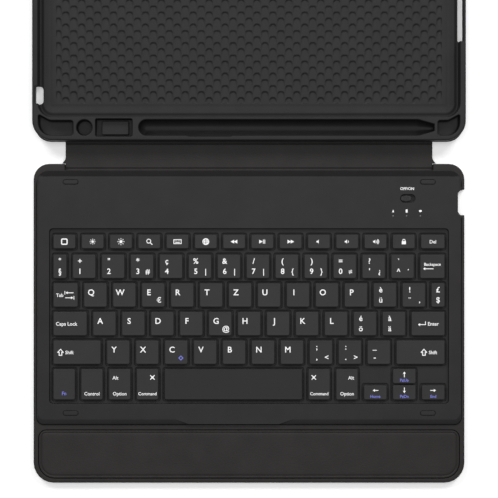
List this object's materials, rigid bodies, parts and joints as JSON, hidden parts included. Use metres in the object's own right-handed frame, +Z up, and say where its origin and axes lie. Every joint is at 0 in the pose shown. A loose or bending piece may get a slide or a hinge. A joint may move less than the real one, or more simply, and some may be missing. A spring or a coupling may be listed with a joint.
{
  "type": "tablet keyboard case",
  "caption": "Folding keyboard case for a 10.2 inch tablet: a keyboard base, a leather-look spine with fold lines, and a tray with a stylus channel.",
  "frame": {"origin": "middle of the underside of the case as it lies open and flat", "axes": "+X to the right, +Y from the palm edge towards the tray, +Z up"},
  "size_m": [0.258, 0.395, 0.011],
  "materials": {
    "leather": "fine-grained black leather-look cover, matte",
    "housing": "fine-textured black plastic",
    "key": "charcoal key plastic, matte",
    "bumper": "black rubber",
    "tray": "soft-touch black moulding",
    "steel": "plain steel",
    "membrane": "translucent white rubber",
    "board": "green circuit board",
    "cell": "foil-wrapped cell",
    "lamp": "milky light pipe"
  },
  "bodies": {
    "base": {"base_shell": "leather", "palm_rest": "leather", "closure_magnet": "steel", "top_housing": "housing", "bottom_housing": "housing", "support_plate": "steel", "dome_sheet": "membrane", "battery": "cell", "circuit_board": "board", "switch_body": "steel", "charge_port": "steel", "caps_lamp": "lamp", "battery_lamp": "lamp", "pairing_lamp": "lamp", "bumper_1": "bumper", "bumper_2": "bumper", "bumper_3": "bumper", "bumper_4": "bumper", "screw_1": "steel", "screw_2": "steel", "screw_3": "steel", "screw_4": "steel", "dock_magnet_left": "steel", "dock_magnet_right": "steel", "front_crease": "leather"},
    "spine": {"spine_panel": "leather", "rear_crease": "leather"},
    "leg": {"leg_panel": "leather", "tilt_crease": "leather"},
    "tray": {"back_panel": "leather", "tray_shell": "tray", "tray_magnet_left": "steel", "tray_magnet_right": "steel"},
    "power_switch": {"power_slider": "housing"},
    "key_function_left": {"key_function_left": "key"},
    "key_function_right": {"key_function_right": "key"},
    "key_delete": {"key_delete": "key"},
    "key_number_left": {"key_number_left": "key"},
    "key_number_right": {"key_number_right": "key"},
    "key_backspace": {"key_backspace": "key"},
    "key_tab": {"key_tab": "key"},
    "key_upper_left": {"key_upper_left": "key"},
    "key_upper_right": {"key_upper_right": "key"},
    "key_caps_lock": {"key_caps_lock": "key"},
    "key_home_row": {"key_home_row": "key"},
    "key_enter": {"key_enter": "key"},
    "key_left_shift": {"key_left_shift": "key"},
    "key_lower_row": {"key_lower_row": "key"},
    "key_right_shift": {"key_right_shift": "key"},
    "key_fn": {"key_fn": "key"},
    "key_left_control": {"key_left_control": "key"},
    "key_left_option": {"key_left_option": "key"},
    "key_left_command": {"key_left_command": "key"},
    "key_space": {"key_space": "key"},
    "key_right_command": {"key_right_command": "key"},
    "key_right_option": {"key_right_option": "key"},
    "key_arrow_left": {"key_arrow_left": "key"},
    "key_arrow_down": {"key_arrow_down": "key"},
    "key_arrow_right": {"key_arrow_right": "key"},
    "key_arrow_up": {"key_arrow_up": "key"}
  },
  "joints": [
    {"name": "case_close", "type": "hinge", "parent": "base", "child": "spine", "pos_m": [0, -0.0095, 0.0007], "axis": [1, 0, 0], "range_deg": [0, 90], "deforming": ["front_crease"]},
    {"name": "case_close_rear", "type": "hinge", "parent": "spine", "child": "leg", "pos_m": [0, 0.006, 0.0007], "axis": [1, 0, 0], "range_deg": [0, 90], "deforming": ["rear_crease"]},
    {"name": "case_tilt", "type": "hinge", "parent": "leg", "child": "tray", "pos_m": [0, 0.1034, 0.0007], "axis": [1, 0, 0], "range_deg": [-15.8, 0], "deforming": ["tilt_crease"]},
    {"name": "power_slide", "type": "slide", "parent": "base", "child": "power_switch", "axis": [1, 0, 0], "range_m": [0, 0.002]},
    {"name": "key_function_left_press", "type": "slide", "parent": "base", "child": "key_function_left", "axis": [0, 0, -1], "range_m": [0, 0.0011], "stiffness_N_per_m": 300, "springref_m": -0.0008, "deforming": ["dome_sheet"]},
    {"name": "key_function_right_press", "type": "slide", "parent": "base", "child": "key_function_right", "axis": [0, 0, -1], "range_m": [0, 0.0011], "stiffness_N_per_m": 300, "springref_m": -0.0008, "deforming": ["dome_sheet"]},
    {"name": "key_delete_press", "type": "slide", "parent": "base", "child": "key_delete", "axis": [0, 0, -1], "range_m": [0, 0.0011], "stiffness_N_per_m": 300, "springref_m": -0.0008, "deforming": ["dome_sheet"]},
    {"name": "key_number_left_press", "type": "slide", "parent": "base", "child": "key_number_left", "axis": [0, 0, -1], "range_m": [0, 0.0011], "stiffness_N_per_m": 300, "springref_m": -0.0008, "deforming": ["dome_sheet"]},
    {"name": "key_number_right_press", "type": "slide", "parent": "base", "child": "key_number_right", "axis": [0, 0, -1], "range_m": [0, 0.0011], "stiffness_N_per_m": 300, "springref_m": -0.0008, "deforming": ["dome_sheet"]},
    {"name": "key_backspace_press", "type": "slide", "parent": "base", "child": "key_backspace", "axis": [0, 0, -1], "range_m": [0, 0.0011], "stiffness_N_per_m": 300, "springref_m": -0.0008, "deforming": ["dome_sheet"]},
    {"name": "key_tab_press", "type": "slide", "parent": "base", "child": "key_tab", "axis": [0, 0, -1], "range_m": [0, 0.0011], "stiffness_N_per_m": 300, "springref_m": -0.0008, "deforming": ["dome_sheet"]},
    {"name": "key_upper_left_press", "type": "slide", "parent": "base", "child": "key_upper_left", "axis": [0, 0, -1], "range_m": [0, 0.0011], "stiffness_N_per_m": 300, "springref_m": -0.0008, "deforming": ["dome_sheet"]},
    {"name": "key_upper_right_press", "type": "slide", "parent": "base", "child": "key_upper_right", "axis": [0, 0, -1], "range_m": [0, 0.0011], "stiffness_N_per_m": 300, "springref_m": -0.0008, "deforming": ["dome_sheet"]},
    {"name": "key_caps_lock_press", "type": "slide", "parent": "base", "child": "key_caps_lock", "axis": [0, 0, -1], "range_m": [0, 0.0011], "stiffness_N_per_m": 300, "springref_m": -0.0008, "deforming": ["dome_sheet"]},
    {"name": "key_home_row_press", "type": "slide", "parent": "base", "child": "key_home_row", "axis": [0, 0, -1], "range_m": [0, 0.0011], "stiffness_N_per_m": 300, "springref_m": -0.0008, "deforming": ["dome_sheet"]},
    {"name": "key_enter_press", "type": "slide", "parent": "base", "child": "key_enter", "axis": [0, 0, -1], "range_m": [0, 0.0011], "stiffness_N_per_m": 300, "springref_m": -0.0008, "deforming": ["dome_sheet"]},
    {"name": "key_left_shift_press", "type": "slide", "parent": "base", "child": "key_left_shift", "axis": [0, 0, -1], "range_m": [0, 0.0011], "stiffness_N_per_m": 300, "springref_m": -0.0008, "deforming": ["dome_sheet"]},
    {"name": "key_lower_row_press", "type": "slide", "parent": "base", "child": "key_lower_row", "axis": [0, 0, -1], "range_m": [0, 0.0011], "stiffness_N_per_m": 300, "springref_m": -0.0008, "deforming": ["dome_sheet"]},
    {"name": "key_right_shift_press", "type": "slide", "parent": "base", "child": "key_right_shift", "axis": [0, 0, -1], "range_m": [0, 0.0011], "stiffness_N_per_m": 300, "springref_m": -0.0008, "deforming": ["dome_sheet"]},
    {"name": "key_fn_press", "type": "slide", "parent": "base", "child": "key_fn", "axis": [0, 0, -1], "range_m": [0, 0.0011], "stiffness_N_per_m": 300, "springref_m": -0.0008, "deforming": ["dome_sheet"]},
    {"name": "key_left_control_press", "type": "slide", "parent": "base", "child": "key_left_control", "axis": [0, 0, -1], "range_m": [0, 0.0011], "stiffness_N_per_m": 300, "springref_m": -0.0008, "deforming": ["dome_sheet"]},
    {"name": "key_left_option_press", "type": "slide", "parent": "base", "child": "key_left_option", "axis": [0, 0, -1], "range_m": [0, 0.0011], "stiffness_N_per_m": 300, "springref_m": -0.0008, "deforming": ["dome_sheet"]},
    {"name": "key_left_command_press", "type": "slide", "parent": "base", "child": "key_left_command", "axis": [0, 0, -1], "range_m": [0, 0.0011], "stiffness_N_per_m": 300, "springref_m": -0.0008, "deforming": ["dome_sheet"]},
    {"name": "key_space_press", "type": "slide", "parent": "base", "child": "key_space", "axis": [0, 0, -1], "range_m": [0, 0.0011], "stiffness_N_per_m": 300, "springref_m": -0.0008, "deforming": ["dome_sheet"]},
    {"name": "key_right_command_press", "type": "slide", "parent": "base", "child": "key_right_command", "axis": [0, 0, -1], "range_m": [0, 0.0011], "stiffness_N_per_m": 300, "springref_m": -0.0008, "deforming": ["dome_sheet"]},
    {"name": "key_right_option_press", "type": "slide", "parent": "base", "child": "key_right_option", "axis": [0, 0, -1], "range_m": [0, 0.0011], "stiffness_N_per_m": 300, "springref_m": -0.0008, "deforming": ["dome_sheet"]},
    {"name": "key_arrow_left_press", "type": "slide", "parent": "base", "child": "key_arrow_left", "axis": [0, 0, -1], "range_m": [0, 0.0011], "stiffness_N_per_m": 300, "springref_m": -0.0008, "deforming": ["dome_sheet"]},
    {"name": "key_arrow_down_press", "type": "slide", "parent": "base", "child": "key_arrow_down", "axis": [0, 0, -1], "range_m": [0, 0.0011], "stiffness_N_per_m": 300, "springref_m": -0.0008, "deforming": ["dome_sheet"]},
    {"name": "key_arrow_right_press", "type": "slide", "parent": "base", "child": "key_arrow_right", "axis": [0, 0, -1], "range_m": [0, 0.0011], "stiffness_N_per_m": 300, "springref_m": -0.0008, "deforming": ["dome_sheet"]},
    {"name": "key_arrow_up_press", "type": "slide", "parent": "base", "child": "key_arrow_up", "axis": [0, 0, -1], "range_m": [0, 0.0011], "stiffness_N_per_m": 300, "springref_m": -0.0008, "deforming": ["dome_sheet"]}
  ]
}
